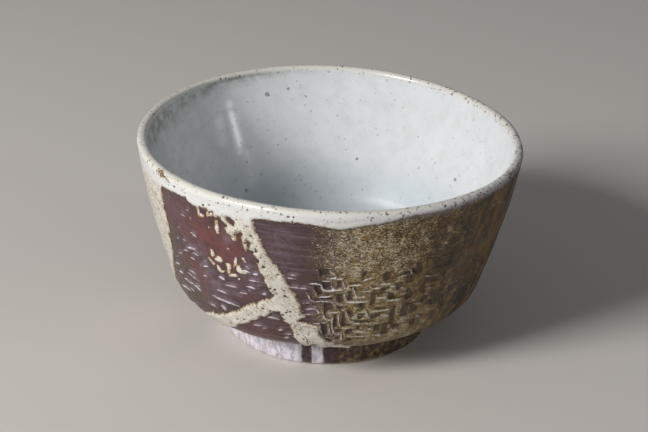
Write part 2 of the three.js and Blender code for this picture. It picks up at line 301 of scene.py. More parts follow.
# A place inside where the wall leans a little more
LEANS = [
    (-134, 91, 20, 20, 1),
]
RUST_SPOTS = [
    (-54.5, 67.6, 3, 1.2, 1), (-50.5, 66.6, 1.4, 0.8, 0.7), (-30, 66.4, 2, 0.8, 0.5),
    (81, 68.2, 3, 1.4, 0.8), (60, 68.6, 2, 0.8, 0.6), (-47, 68.4, 2, 0.6, 0.5),
]
FOOT_WASH = [
    (-44, -4, 16, 14, 1.4), (-26, -4, 9, 14, 1.4), (-15.6, -4, 3.6, 14, 1.1), (-3.6, -4, 2.6, 14, 1.3),
    (-70, -4, 14, 14, 0.8),
]
# Pinholes in the cream: middle and radius
PINHOLES = [
    (-21, 57.6, 0.4), (-17.9, 46.8, 0.5), (-13.6, 45, 0.35), (-16.5, 39, 0.4), (-15.1, 38.8, 0.35),
    (-12.1, 36.9, 0.4), (-19.7, 52.5, 0.5), (-19.9, 53.3, 0.35), (-19.6, 48.3, 0.35), (-10.1, 66.5, 0.35),
    (-9, 64.9, 0.3), (-17.2, 29.9, 0.35), (-13.3, 28.9, 0.4), (-12.8, 27.2, 0.35), (-19.6, 30.2, 0.35),
    (-43, 64.1, 0.45), (-36, 63.9, 0.4), (-30.4, 61.8, 0.3), (-27, 61.7, 0.3), (-28.3, 61, 0.25),
    (-23.4, 56.4, 0.25), (-22, 60.6, 0.25), (-22.9, 54.6, 0.3), (-18.4, 50.6, 0.25), (-33.8, 64.6, 0.3),
    (-24.4, 65, 0.3), (-22.2, 51.8, 0.6), (-21, 51.9, 0.55), (-24.4, 53.9, 0.3), (-20.2, 50.4, 0.3),
    (-19.2, 49.2, 0.25), (-22.4, 55.9, 0.25), (-24.9, 62.4, 0.3), (-31.6, 63.2, 0.25), (-26.2, 59.8, 0.3),
    (-29.3, 57.2, 0.25), (-25.6, 57.3, 0.25), (-27.6, 56.6, 0.25), (-34.8, 61.4, 0.35),
    (-37.4, 62.6, 0.35), (-14.9, 42.6, 0.2), (-25.4, 25.6, 0.25), (-35.2, 21.4, 0.3), (-33.4, 19.9, 0.25),
    (-38.8, 19.6, 0.3), (-22.5, 29.8, 0.22), (-12, 30.2, 0.3), (-9.2, 24.6, 0.25), (-7.4, 23.4, 0.2),
    (-10.8, 33.8, 0.25), (-5.6, 17.2, 0.22), (-7.8, 16.2, 0.2), (-47.6, 66, 0.4), (-50.4, 65.2, 0.35),
    (-27.6, 23, 0.3), (-9.6, 33, 0.25), (-10.7, 31, 0.3), (-8.4, 25.5, 0.25), (-5.2, 21.5, 0.25),
    (-6.9, 19.3, 0.3), (-58, 54.5, 0.35), (-58.4, 60, 0.4), (-60, 45, 0.3),
]


def a_number(name, description, default, **kind):
    return bpy.props.FloatProperty(name=name, description=description, default=default, **kind)


def a_length(name, description, default):
    return a_number(name, description, default, unit="LENGTH")


def an_angle(name, description, default):
    return a_number(name, description, default, subtype="ANGLE")


class BowlSizes(bpy.types.PropertyGroup):
    """Sizes of the clay. Its solid has them too, but with a smaller bevel inside the foot ring."""

    rim_diameter: a_length("Rim diameter", "Mean, across the outside of the lip", 0.125)
    height: a_length("Height", "Mean height of the lip", 0.0663)
    shoulder_diameter: a_length("Shoulder diameter", "Outside, where the wall turns in", 0.1021)
    shoulder_height: a_length("Shoulder height", "Where the wall turns in", 0.0197)
    shoulder_power: a_number("Shoulder squareness", "2 turns as an ellipse does", 2.44)
    belly_swell: a_length("Belly swell", "How far the wall swells at its middle", 0.00106)
    base_height: a_length("Base height", "Where the turning-in would reach the axis", 0.0052)
    lip_thickness: a_length("Lip thickness", "Wall at the lip", 0.0032)
    low_wall_thickness: a_length("Low wall thickness", "Wall at the shoulder", 0.0048)
    floor_height: a_length("Floor height", "The inside's lowest point", 0.012)
    inside_turn_height: a_length("Inside turn height", "Where the inside turns in", 0.024)
    inside_power: a_number("Inside squareness", "2 turns as an ellipse does", 2.5)
    lip_rounding: a_length("Lip rounding", "Height of the rounded top", 0.0017)
    lip_power: a_number("Lip squareness", "2 is half an ellipse", 2.3)
    foot_diameter: a_length("Foot diameter", "Outside, at the underside", 0.0682)
    foot_taper: a_length("Foot taper", "How much the foot's radius grows upwards", 0.0009)
    foot_ring_width: a_length("Foot ring width", "The ring that it stands on", 0.0068)
    foot_recess: a_length("Foot recess", "Depth of the hollow under the foot", 0.0056)
    recess_draft: a_length("Recess draft", "How much that hollow narrows", 0.0014)
    foot_bevel: a_length("Foot bevel", "Both edges of the foot ring", 0.0008)
    oval_share: a_number("Oval share", "Longer radius over the mean radius, less one", 0.024)
    oval_angle: an_angle("Oval angle", "Direction of the longer radius", math.radians(-53.6))
    rim_sway: a_length("Rim sway", "The lip rises and falls by this", 0.00056)
    rim_sway_angle: an_angle("Rim sway angle", "Where the lip is highest", math.radians(-83))
    segments: bpy.props.IntProperty(name="Segments", description="Faces round the bowl", default=468)
    crowding: a_number("Crowding", "How much closer the faces are at the front", 0.42)
    crowding_angle: an_angle("Crowding angle", "Where they are closest", math.radians(-8))


class GlazeSizes(bpy.types.PropertyGroup):
    """Thicknesses of the glazes and depths of the marks."""

    cream_thickness: a_length("Cream thickness", "How far the poured cream stands proud", 0.00034)
    stroke_depth: a_length("Stroke depth", "Of the combed strokes", 0.00038)
    block_depth: a_length("Block depth", "Of the pressed blocks", 0.00042)
    line_height: a_length("Line height", "Of the raised lines", 0.00016)
    throwing_rings: a_length("Throwing rings", "Height of the finger's rings inside", 0.00005)
    wobble: a_length("Wobble", "Slow unevenness of the wall", 0.00022)


def colour(name, description, default):
    return bpy.props.FloatVectorProperty(
        name=name, description=description, default=default, size=3, min=0, max=1, subtype="COLOR"
    )


class GlazeColours(bpy.types.PropertyGroup):
    """Colours of the clay and the glazes, and of the painted sheen, highlight and shade on them."""

    cream: colour("Cream", "Poured cream glaze", (0.66, 0.63, 0.56))
    lip_white: colour("Lip white", "The same glaze, thicker, at the lip", (0.66, 0.67, 0.65))
    ochre: colour("Ochre", "Cream glaze where it thins", (0.40, 0.28, 0.13))
    rust: colour("Rust", "Worn spots on the lip", (0.42, 0.27, 0.08))
    iron: colour("Iron", "Iron spots", (0.030, 0.024, 0.018))
    purple: colour("Purple", "Dark slip", (0.069, 0.038, 0.041))
    maroon: colour("Maroon", "Dark slip fired red", (0.138, 0.045, 0.043))
    umber: colour("Umber", "Dark slip fired brown", (0.075, 0.050, 0.030))
    # Violet is painted sheen: on the sheen patches, in the scoops and on the rings' lighter bands
    violet: colour("Violet", "Sheen on the dark slip", (0.185, 0.130, 0.165))
    # Lavender is the thin glaze on the fret's raised lines, and a painted highlight on the strokes' lower
    # edges
    lavender: colour("Lavender", "Thin glaze on raised edges", (0.62, 0.58, 0.62))
    violet_grey: colour("Violet grey", "Lower edge of the lip's glaze", (0.34, 0.32, 0.36))
    khaki: colour("Khaki", "Ash glaze", (0.25, 0.182, 0.088))
    ash_pale: colour("Pale ash", "Ash glaze where it is thin", (0.50, 0.43, 0.31))
    ochre_ash: colour("Ochre ash", "Ash glaze where it is yellow", (0.17, 0.102, 0.024))
    brown: colour("Brown", "Ash glaze fired brown", (0.070, 0.041, 0.015))
    olive: colour("Olive", "Ash glaze pooled", (0.034, 0.027, 0.006))
    glass: colour("Glass", "Ash glaze run together on the dark side", (0.056, 0.028, 0.006))
    inside: colour("Inside", "Pale grey-white glaze inside", (0.715, 0.725, 0.735))
    inside_deep: colour("Inside deep", "Inside glaze where it pools", (0.68, 0.70, 0.70))
    # Inside low is painted shade, darkening the inside glaze towards the well's bottom
    inside_low_shade: colour("Inside low", "Inside glaze at the well's bottom", (0.53, 0.585, 0.62))
    inside_green: colour("Inside green", "Green cast in the inside glaze", (0.56, 0.61, 0.57))
    inside_violet: colour("Inside violet", "Violet cast in the inside glaze", (0.66, 0.63, 0.68))
    bloom: colour("Bloom", "Brown bloom and specks inside", (0.16, 0.15, 0.10))
    wash: colour("Wash", "Pale wash on the foot", (0.66, 0.62, 0.68))
    clay: colour("Clay", "Bare fired clay", (0.48, 0.42, 0.35))
    floor: colour("Floor", "Studio floor", (0.62, 0.58, 0.54))


class StageSettings(bpy.types.PropertyGroup):
    """Camera and floor."""

    distance: a_length("Distance", "Camera to the foot's centre", 0.54222)
    elevation: an_angle("Elevation", "Camera above the table", 0.5005)
    pan: an_angle("Pan", "Camera turned sideways", -0.00241)
    tilt: an_angle("Tilt", "Camera turned up", 0.06098)
    roll: an_angle("Roll", "Camera rolled", -0.02473)
    focal_widths: a_number("Focal length", "In picture widths", 1600 / 648)
    floor_size: a_length("Floor size", "Side of the floor", 6)


def lerp(low, high, share):
    return low + (high - low) * share


def wall_radius(height, s):
    """Outside radius of the wall, leaving out where it turns in."""
    up = (height - s.shoulder_height) / (s.height - s.shoulder_height)
    return lerp(s.shoulder_diameter / 2, s.rim_diameter / 2, up) + s.belly_swell * 4 * up * (1 - up)


def inner_radius(height, s):
    down = min(max((s.height - height) / (s.height - s.shoulder_height), 0), 1)
    return wall_radius(height, s) - lerp(s.lip_thickness, s.low_wall_thickness, down)


def turn_in(share, start, end, power, radius_at):
    """A place on a quarter superellipse, upright at its start and flat at its end on the axis."""
    angle = share * math.pi / 2
    height = start + (end - start) * math.sin(angle) ** (2 / power)
    return radius_at(height) * max(math.cos(angle), 0) ** (2 / power), height


def shares(count):
    return [i / count for i in range(count + 1)]


def resample(places, gaps):
    """Places at chosen distances along a chain of (radius, height)."""
    chain = np.array(places)
    run = np.concatenate([[0], np.cumsum(np.hypot(*np.diff(chain, axis=0).T))])
    marks = [0.0]
    for gap, until in gaps:
        count = max(round((min(until, run[-1]) - marks[-1]) / gap), 1)
        marks += list(np.linspace(marks[-1], min(until, run[-1]), count + 1)[1:])
    return np.stack([np.interp(marks, run, chain[:, k]) for k in (0, 1)], -1), np.array(marks)


def foot_rows(s):
    """From the middle of the underside out to where the foot meets the body, (radius, height)."""
    outer, bevel = s.foot_diameter / 2, s.foot_bevel
    inner = outer - s.foot_ring_width
    ceiling = [((inner - s.recess_draft) * share, s.foot_recess) for share in (0, 0.08, 0.3, 0.55, 0.8, 0.97)]
    top_radius = inner - s.recess_draft * 0.9
    wall = [(lerp(top_radius, inner, u), lerp(s.foot_recess * 0.96, bevel, u)) for u in shares(4)]
    under = [(inner + bevel * 0.3, bevel * 0.3), (inner + bevel, 0), (inner + bevel * 3, 0)]
    edge = [(outer - bevel * 2.4, 0), (outer - bevel, 0), (outer - bevel * 0.3, bevel * 0.3), (outer, bevel)]
    return ceiling + wall + under + edge


def body_chain(s):
    """The outside from the foot to the lip, closely spaced."""
    top = s.height - s.lip_rounding
    turned = [
        turn_in(u, s.shoulder_height, s.base_height, s.shoulder_power, lambda z: wall_radius(z, s))
        for u in shares(FINE_STEPS)
    ]
    foot_top = s.foot_diameter / 2 + s.foot_taper
    turned = [place for place in reversed(turned) if place[0] > foot_top]
    wall = [(wall_radius(z, s), z) for z in np.linspace(s.shoulder_height, top, 200)[1:]]
    return turned + wall


def lip_chain(s):
    top = s.height - s.lip_rounding
    outer, inner = wall_radius(top, s), inner_radius(top, s)
    places = []
    for share in shares(60):
        angle = share * math.pi
        across = math.copysign(abs(math.cos(angle)) ** (2 / s.lip_power), math.cos(angle))
        up = abs(math.sin(angle)) ** (2 / s.lip_power)
        places.append(((outer + inner) / 2 + across * (outer - inner) / 2, top + up * s.lip_rounding))
    return places


def inside_chain(s):
    top = s.height - s.lip_rounding
    wall = [(inner_radius(z, s), z) for z in np.linspace(top, s.inside_turn_height, 120)]
    turned = [
        turn_in(u, s.inside_turn_height, s.floor_height, s.inside_power, lambda z: inner_radius(z, s))
        for u in shares(FINE_STEPS)
    ]
    return wall[1:] + turned[1:]


def turned_rows(s):
    """The whole profile as rows of (radius, height) and how far up the outside each row is, in metres."""
    foot = np.array(foot_rows(s))
    chain = body_chain(s)
    join = np.array(chain[0])
    side = np.linspace(foot[-1], join, 8)[1:-1]
    foot = np.concatenate([foot, side])
    run = np.concatenate([[0], np.cumsum(np.hypot(*np.diff(foot, axis=0).T))])
    foot_up = run - run[-1] - np.hypot(*(join - foot[-1]))
    upper, up = resample(chain + lip_chain(s)[1:] + inside_chain(s), ROW_GAPS)
    upper[-1][0] = 0
    return np.concatenate([foot, upper]), np.concatenate([foot_up, up])


class Wire:
    """An output of a node, on which arithmetic can be written."""

    def __init__(self, tree, socket=None):
        self.tree = tree
        self.socket = socket

    def node(self, kind, settings=None, sockets=None, output=0):
        """Adds a node: its settings or stops first, then a value or a wire for each of its sockets."""
        made = self.tree.nodes.new(kind)
        for name, value in (settings or {}).items():
            if name == "stops":
                self.fill_ramp(made.color_ramp, value)
            else:
                setattr(made, name, value)
        for name, value in (sockets or {}).items():
            if isinstance(value, Wire):
                self.tree.links.new(value.socket, made.inputs[name])
            else:
                made.inputs[name].default_value = value
        return Wire(self.tree, made.outputs[output])

    def fill_ramp(self, ramp, stops):
        while len(ramp.elements) < len(stops):
            ramp.elements.new(1)
        for element, (position, rgb) in zip(ramp.elements, stops):
            element.position = position
            element.color = (*rgb, 1)

    def output(self, name):
        return Wire(self.tree, self.socket.node.outputs[name])

    def math(self, operation, *values):
        return self.node("ShaderNodeMath", {"operation": operation}, dict(enumerate(values)))

    def __add__(self, other):
        return self.math("ADD", self, other)

    __radd__ = __add__

    def __sub__(self, other):
        return self.math("SUBTRACT", self, other)

    def __rsub__(self, other):
        return self.math("SUBTRACT", other, self)

    def __mul__(self, other):
        return self.math("MULTIPLY", self, other)

    __rmul__ = __mul__

    def __truediv__(self, other):
        return self.math("DIVIDE", self, other)

    def clamp(self):
        return self.math("MAXIMUM", self.math("MINIMUM", self, 1.0), 0.0)


def turning_tree(material):
    """Geometry nodes that turn a profile of rows round the axis and leave it as uneven as the hand did."""
    tree = bpy.data.node_groups.new("Turned clay", "GeometryNodeTree")
    face = tree.interface
    face.new_socket("Geometry", in_out="OUTPUT", socket_type="NodeSocketGeometry")
    face.new_socket("Geometry", in_out="INPUT", socket_type="NodeSocketGeometry")
    face.new_socket("Segments", in_out="INPUT", socket_type="NodeSocketInt")
    for name in TURNING_INPUTS:
        face.new_socket(name, in_out="INPUT", socket_type="NodeSocketFloat")
    given = tree.nodes.new("NodeGroupInput")
    take = {socket.name: Wire(tree, socket) for socket in given.outputs if socket.name}
    w = Wire(tree)
    rows = w.node("GeometryNodeAttributeDomainSize", None, {"Geometry": take["Geometry"]})
    sizes = {"Size X": 1.0, "Size Y": 1.0, "Vertices X": take["Segments"] + 1.0, "Vertices Y": rows}
    grid = w.node("GeometryNodeMeshGrid", None, sizes)
    place = w.node("GeometryNodeInputPosition")
    split = w.node("ShaderNodeSeparateXYZ", None, {"Vector": place})
    share = split.output("X") + 0.5
    row = w.math("ROUND", (split.output("Y") + 0.5) * (rows - 1.0))
    stored = {"Geometry": grid, "Name": "row", "Value": row}
    grid = w.node("GeometryNodeStoreNamedAttribute", {"data_type": "FLOAT"}, stored)
    sampled = w.node(
        "GeometryNodeSampleIndex",
        {"data_type": "FLOAT_VECTOR"},
        {"Geometry": take["Geometry"], "Value": place, "Index": row},
    )
    profile = w.node("ShaderNodeSeparateXYZ", None, {"Vector": sampled})
    radius, height = profile.output("X"), profile.output("Z")
    turn = share * (2 * math.pi)
    angle = turn - take["Crowding"] * w.math("SINE", turn) + take["Crowding angle"] - math.pi / 2
    up = w.math("MAXIMUM", height - take["Floor height"], 0.0) / (take["Height"] - take["Floor height"])
    oval = w.math("COSINE", 2.0 * (angle - take["Oval angle"]))
    sway = w.math("COSINE", 2.0 * (angle - take["Sway angle"]))
    reach = radius * (1.0 + take["Oval share"] * up * oval)
    z = height + take["Sway"] * up * up * sway
    corner = {"X": reach * w.math("COSINE", angle), "Y": reach * w.math("SINE", angle), "Z": z}
    moved = w.node("ShaderNodeCombineXYZ", None, corner)
    shape = w.node("GeometryNodeSetPosition", None, {"Geometry": grid, "Position": moved})
    shape = w.node("GeometryNodeMergeByDistance", None, {"Geometry": shape, "Distance": 1e-6})
    shape = w.node("GeometryNodeSetShadeSmooth", None, {"Geometry": shape})
    shape = w.node("GeometryNodeRealizeInstances", None, {"Geometry": shape})
    shape = w.node("GeometryNodeSetMaterial", None, {"Geometry": shape, "Material": material})
    out = tree.nodes.new("NodeGroupOutput")
    tree.links.new(shape.socket, out.inputs[0])
    return tree


def turned_mesh(rows, s, material):
    """Runs the turning tree on a profile and gives the result as a plain mesh."""
    profile = bpy.data.meshes.new("bowl_profile")
    profile.from_pydata([(r, 0, z) for r, z in rows], [(i, i + 1) for i in range(len(rows) - 1)], [])
    thing = bpy.data.objects.new("bowl_profile", profile)
    bpy.context.scene.collection.objects.link(thing)
    tree = turning_tree(material)
    modifier = thing.modifiers.new("Turning", "NODES")
    modifier.node_group = tree
    sizes = {"Segments": "segments", **TURNING_INPUTS}
    for item in tree.interface.items_tree:
        if item.in_out == "INPUT" and item.name in sizes:
            modifier[item.identifier] = getattr(s, sizes[item.name])
    graph = bpy.context.evaluated_depsgraph_get()
    mesh = bpy.data.meshes.new_from_object(thing.evaluated_get(graph))
    bpy.data.objects.remove(thing)
    bpy.data.meshes.remove(profile)
    return mesh


def numbers(mesh, name):
    values = np.empty(len(mesh.vertices), np.float32)
    mesh.attributes[name].data.foreach_get("value", values)
    return values.astype(float)


def vectors(collection, name, count):
    values = np.empty(count * 3, np.float32)
    collection.foreach_get(name, values)
    return values.reshape(-1, 3).astype(float)


def store(mesh, name, values):
    attribute = mesh.attributes.new(name, "FLOAT", "POINT")
    attribute.data.foreach_set("value", np.asarray(values, np.float32))


def smooth(values, low, high):
    """0 below low, 1 above high and a soft step between them."""
    t = np.clip((values - low) / (high - low), 0, 1)
    return t * t * (3 - 2 * t)


def to_segment(x, y, a, b):
    """Distance from each place to the segment a, b, and how far along it the nearest place is."""
    along = np.subtract(b, a)
    t = np.clip(((x - a[0]) * along[0] + (y - a[1]) * along[1]) / max(along @ along, 1e-9), 0, 1)
    return np.hypot(x - a[0] - t * along[0], y - a[1] - t * along[1]), t


def to_chain(x, y, chain):
    nearest = np.full(len(x), FAR)
    for a, b in zip(chain, chain[1:]):
        nearest = np.minimum(nearest, to_segment(x, y, a, b)[0])
    return nearest


def ribbons(x, y, chains, half_width, taper, squash=1.0):
    """How deep each place is inside ribbons along the chains, which narrow towards both ends.

    A squash below 1 lets them run on past their ends."""
    deepest = np.full(len(x), -FAR)
    x = x * squash
    for number, chain in enumerate(chains):
        chain = [(across * squash, high) for across, high in chain]
        places = np.array(chain)
        near = (x > places[:, 0].min() - 3) & (x < places[:, 0].max() + 3)
        near &= (y > places[:, 1].min() - 3) & (y < places[:, 1].max() + 3)
        steps = np.hypot(*np.diff(places, axis=0).T)
        run, whole = 0.0, steps.sum()
        width = half_width * (0.8 + 0.4 * ((number * 7) % 10) / 9)
        for a, b, step in zip(chain, chain[1:], steps):
            distance, t = to_segment(x[near], y[near], a, b)
            along = (run + t * step) / whole
            narrowed = width * (1 - taper * np.abs(2 * along - 1) ** 2)
            deepest[near] = np.maximum(deepest[near], narrowed - distance)
            run += step
    return deepest


def in_outline(x, y, outline):
    """How deep each place is inside a closed outline, negative outside it."""
    within = np.zeros(len(x), bool)
    for a, b in zip(outline, outline[1:] + outline[:1]):
        crosses = (a[1] > y) != (b[1] > y)
        reach = a[0] + (y - a[1]) * (b[0] - a[0]) / ((b[1] - a[1]) or 1e-9)
        within ^= crosses & (x < reach)
    distance = to_chain(x, y, outline + outline[:1])
    return np.where(within, distance, -distance)


def cloud(places, scale, seed):
    """Smooth noise about -1 to 1 at each place, with features about this many metres wide."""
    shift = Vector((seed * 7.3, seed * 3.1, seed * 5.7))
    return np.array([noise.noise(Vector(place) / scale + shift) for place in places])


def glow(x, y, spots):
    """Soft round patches: middle, half width, half height, strength."""
    total = np.zeros(len(x))
    for middle_x, middle_y, half_width, half_height, strength in spots:
        across, high = (x - middle_x) / half_width, (y - middle_y) / half_height
        total += strength * np.exp(-(across**2) - high**2)
    return np.clip(total, 0, 1)


def in_blocks(x, y, blocks):
    deepest = np.full(len(x), -FAR)
    for block in blocks:
        near = (np.abs(x - block[0][0]) < 9) & (np.abs(y - block[0][1]) < 11)
        deepest[near] = np.maximum(deepest[near], in_outline(x[near], y[near], block))
    return deepest


def in_rounds(x, y, rounds):
    """How deep each place is inside rounds of (middle, radius)."""
    deepest = np.full(len(x), -FAR)
    for middle_x, middle_y, radius in rounds:
        deepest = np.maximum(deepest, radius - np.hypot(x - middle_x, y - middle_y))
    return deepest


def mark_surface(mesh, up_of_row):
    """Writes where each glaze and mark lies, and gives the places and masks that the relief needs."""
    co = vectors(mesh.vertices, "co", len(mesh.vertices))
    row = np.rint(numbers(mesh, "row")).astype(int)
    up = up_of_row[row] / MM
    y = up + SETTLE * smooth(up, -2, 4)
    x = np.arctan2(co[:, 0], -co[:, 1]) * ROUND_RADIUS
    ragged = cloud(co, 0.0013, 1) * 0.55 + cloud(co, 0.004, 2) * 0.4
    fray = np.maximum(glow(x, y, FRAYED), smooth(np.abs(x - 60), 30, 60))
    field = np.maximum(in_outline(x, y, RIGHT_FIELD), in_outline(x + ONCE_ROUND, y, RIGHT_FIELD))
    panel = np.maximum(in_outline(x, y, LEFT_PANEL), in_outline(x, y, LOWER_PANEL))
    clay = np.maximum(np.maximum(field, panel), in_blocks(x, y, GAPS))
    drawn_in = 0.2 * fray * smooth(y, 45, 55)
    jitter = ragged * 0.14
    ash = smooth(x + 4 * cloud(co, 0.009, 3), -8, 14)
    ash = ash * (1 - smooth(np.abs(x) + 14 * cloud(co, 0.02, 9), 100, 165))
    marks = {
        "up": up,
        "cream": ragged * (0.22 + 0.6 * fray) - drawn_in - clay,
        "fray": fray,
        "spatter": in_blocks(x, y, SHARDS) + ragged * 0.35,
        # stroke: the strokes' raised lower edges, which carry a painted highlight
        "stroke": ribbons(x, y, STROKES, 0.36, 0.3, 0.36) + jitter * 0.6,
        # scoop: the hollows above the strokes, which carry painted violet sheen
        "scoop": ribbons(x, y - 0.95, STROKES, 0.95, 0.5, 0.7) + jitter,
        "line": ribbons(x, y, FRET_LINES, 0.33, 0.3) + jitter * 0.6,
        # trench: a groove above and right of each raised line, which carries painted shadow
        "trench": ribbons(x - 0.4, y - 0.7, FRET_LINES, 0.34, 0.3) + jitter,
        "block": in_blocks(x, y, FRET_BLOCKS) + jitter + 0.3 * smooth(x, 8, 24),
        "hole": in_rounds(x, y, PINHOLES) + ragged * 0.3,
        "ash": np.where(field > -3, ash, 0),
        "gloom": smooth(x + 9 * cloud(co, 0.010, 4) + 0.35 * (y - 45), 13, 55) * (field > -3),
        # shaded: where painted shade darkens the inside glaze
        "shaded": glow(x, y, SHADED_PATCHES),
        "lean": 0.10 * (y - 91) * glow(x, y, LEANS),
        "banded": np.maximum(smooth(x, -24, -17), smooth(-x, 90, 120)) * 0.8 + 0.2,
        "red": glow(x, y, RED_PATCHES),
        # sheen: where painted violet sheen lies on the dark slip
        "sheen": glow(x, y, SHEEN_PATCHES),
        "umber": glow(x, y, UMBER_PATCHES),
        "bloom": glow(x, y, BLOOMS),
        "grey": smooth(x, -2, 45) * smooth(-x, -172, -90),
        "rust": glow(x, y, RUST_SPOTS),
        "wash": glow(x, y, FOOT_WASH),
    }
    for name, values in marks.items():
        store(mesh, name, values)
    return co, x, up, marks


def relief(co, x, up, marks, g):
    """How far each place stands out from the turned clay, in metres."""
    outside = smooth(up, -1.0, 1.5) * (1 - smooth(up, 66.5, 69))
    inside = smooth(up, 71.5, 78)
    wobble = cloud(co, 0.019, 5) + 0.6 * cloud(co, 0.008, 6) * outside
    rings = np.sin(up * 0.95 + 1.6 * cloud(co, 0.03, 7))
    height = g.wobble * wobble * (up > -3) * (1 - 0.5 * inside)
    height += g.throwing_rings * rings * inside
    cream = smooth(marks["cream"], -0.25, 0.75)
    bead = 0.5 * np.exp(-((marks["cream"] - 0.8) / 0.8) ** 2) + 1.6 * glow(x, up, BEADS)
    bead += 0.5 * cloud(co, 0.0045, 8) * (1 - smooth(up, 58, 63))
    height += g.cream_thickness * (cream * (1 + bead) - 1) * outside
    bare = 1 - smooth(marks["cream"], -0.2, 0.3)
    height += g.cream_thickness * 0.7 * smooth(marks["spatter"], -0.2, 0.5) * bare
    height -= g.stroke_depth * smooth(marks["scoop"], -0.3, 0.9) * bare
    height += g.line_height * smooth(marks["stroke"], -0.3, 0.25) * bare
    height -= g.block_depth * smooth(marks["block"], -0.35, 0.35) * bare
    height -= 0.5 * g.block_depth * smooth(marks["trench"], -0.3, 0.3) * bare
    height += g.line_height * smooth(marks["line"], -0.35, 0.2) * bare
    height -= 0.6 * g.cream_thickness * smooth(marks["hole"], -0.3, 0.3) * cream
    return height


def bowl_mesh(s, g, material):
    rows, up = turned_rows(s)
    mesh = turned_mesh(rows, s, material)
    normals = vectors(mesh.vertex_normals, "vector", len(mesh.vertices))
    co, x, up, marks = mark_surface(mesh, up)
    widest = np.argmax(np.hypot(co[:, 0], co[:, 1]))
    outward = 1 if normals[widest] @ co[widest] > 0 else -1
    if outward < 0:
        mesh.flip_normals()
    moved = co + normals * outward * relief(co, x, up, marks, g)[:, None]
    mesh.vertices.foreach_set("co", moved.astype(np.float32).ravel())
    mesh.attributes.remove(mesh.attributes["row"])
    mesh.update()
    return mesh


def soft_step(value, low, high):
    return value.node(
        "ShaderNodeMapRange",
        {"interpolation_type": "SMOOTHSTEP"},
        {"Value": value, "From Min": low, "From Max": high, "To Min": 0.0, "To Max": 1.0},
    )


def mix(factor, a, b):
    """The colour a where factor is 0 and b where it is 1."""
    sockets = {0: factor}
    for index, value in ((6, a), (7, b)):
        sockets[index] = value if isinstance(value, Wire) else (*value, 1)
    return factor.node("ShaderNodeMix", {"data_type": "RGBA"}, sockets, 2)


def blend(factor, a, b):
    """The number a where factor is 0 and b where it is 1."""
    return a + factor * (b - a)


def shade(rgb, share):
    return tuple(value * share for value in rgb)


class Surface:
    """Patterns on the bowl, all read in millimetres of the bowl's own frame."""

    def __init__(self, tree):
        self.wire = Wire(tree)
        place = self.wire.node("ShaderNodeTexCoord", None, None, "Object")
        sockets = {"Vector": place, "Scale": 1 / MM}
        self.place = self.wire.node("ShaderNodeVectorMath", {"operation": "SCALE"}, sockets)
        self.up, self.ash, self.gloom = self.mark("up"), self.mark("ash"), self.mark("gloom")
        self.is_inside = soft_step(self.up, 70.2, 72.4)
        self.is_foot = 1.0 - soft_step(self.up + self.clouds(1.5, 36.0) * 0.5, -0.1, 0.7)
        edge = self.drift(0.7, 37.0, 3, 0.65) * (0.5 + self.mark("fray") * 1.6)
        self.is_cream = soft_step(self.mark("cream") + edge, -0.12, 0.12)

    def mark(self, name):
        return self.wire.node("ShaderNodeAttribute", {"attribute_name": name}, None, "Fac")

    def moved(self, stretch, shift):
        sockets = {"Vector": self.place, "Scale": stretch, "Location": (shift, shift * 2, shift * 3)}
        return self.wire.node("ShaderNodeMapping", None, sockets)

    def clouds(self, size, shift, detail=2.0, roughness=0.55, stretch=(1, 1, 1)):
        """Noise about 0 to 1 with features about this many millimetres wide."""
        sockets = {"Vector": self.moved(stretch, shift), "Scale": 1 / size}
        sockets.update({"Detail": detail, "Roughness": roughness})
        return self.wire.node("ShaderNodeTexNoise", None, sockets, "Fac")

    def drift(self, *pattern):
        """The same noise, about -0.5 to 0.5."""
        return self.clouds(*pattern) - 0.5

    def blots(self, low, high, *pattern):
        """The same noise, drawn apart into blots: 0 where it is below low and 1 above high."""
        return soft_step(self.clouds(*pattern), low, high)

    def cells(self, size, shift, stretch=(1, 1, 1)):
        """Cells this wide in millimetres: two random numbers for each, and how far its middle is."""
        sockets = {"Vector": self.moved(stretch, shift), "Scale": 1 / size}
        cell = self.wire.node("ShaderNodeTexVoronoi", None, sockets)
        chance = self.wire.node("ShaderNodeSeparateColor", None, {"Color": cell.output("Color")})
        return chance, chance.output(1), cell * size

    def specks(self, size, radius, share, shift):
        """1 in specks up to this radius, in this share of the cells."""
        first, second, distance = self.cells(size, shift)
        uneven = self.drift(radius * 1.4, shift + 5.0) * (radius * 1.2)
        speck = soft_step((second * 0.75 + 0.25) * radius - distance + uneven, -0.09, 0.07)
        return speck * soft_step(first, 1.0 - share - 0.01, 1.0 - share + 0.01)


def slip_colour(on, c):
    """Dark slip with red and umber patches, painted violet sheen and fine rings."""
    base = mix(on.blots(0.36, 0.64, 8, 1.0, 3), shade(c.purple, 0.85), shade(c.purple, 1.2))
    base = mix(on.mark("red") * on.blots(0.3, 0.56, 3.2, 2.0, 4), base, c.maroon)
    base = mix(on.mark("umber") * on.blots(0.36, 0.6, 2.4, 3.0, 4, 0.6), base, c.umber)
    # Painted sheen: lighter violet on the sheen patches
    sheen = on.mark("sheen") * on.blots(0.32, 0.62, 2.2, 4.0, 4, 0.65)
    base = mix(sheen * 0.75, base, c.violet)
    # Fine rings: the lighter violet bands are painted sheen, with darker umber bands between them
    rings = on.clouds(1.0, 5.0, 3, 0.6, (0.05, 0.05, 1.2))
    banded = on.mark("banded")
    base = mix(soft_step(rings, 0.50, 0.66) * banded * 0.4, base, c.violet)
    base = mix((1.0 - soft_step(rings, 0.34, 0.48)) * banded * 0.6, base, shade(c.umber, 0.6))
    dust = on.blots(0.56, 0.68, 0.6, 6.0, 3, 0.75)
    base = mix(dust * 0.6, base, shade(c.purple, 0.35))
    streaks = on.blots(0.52, 0.68, 3.0, 6.2, 4, 0.65, (1, 1, 0.4)) * (1.0 - banded)
    base = mix(streaks * 0.4, base, shade(c.maroon, 0.75))
    smudge = on.blots(0.54, 0.70, 1.7, 6.5, 4, 0.65, (1.3, 1.3, 0.7))
    return mix(smudge * 0.5, base, shade(c.umber, 0.6))


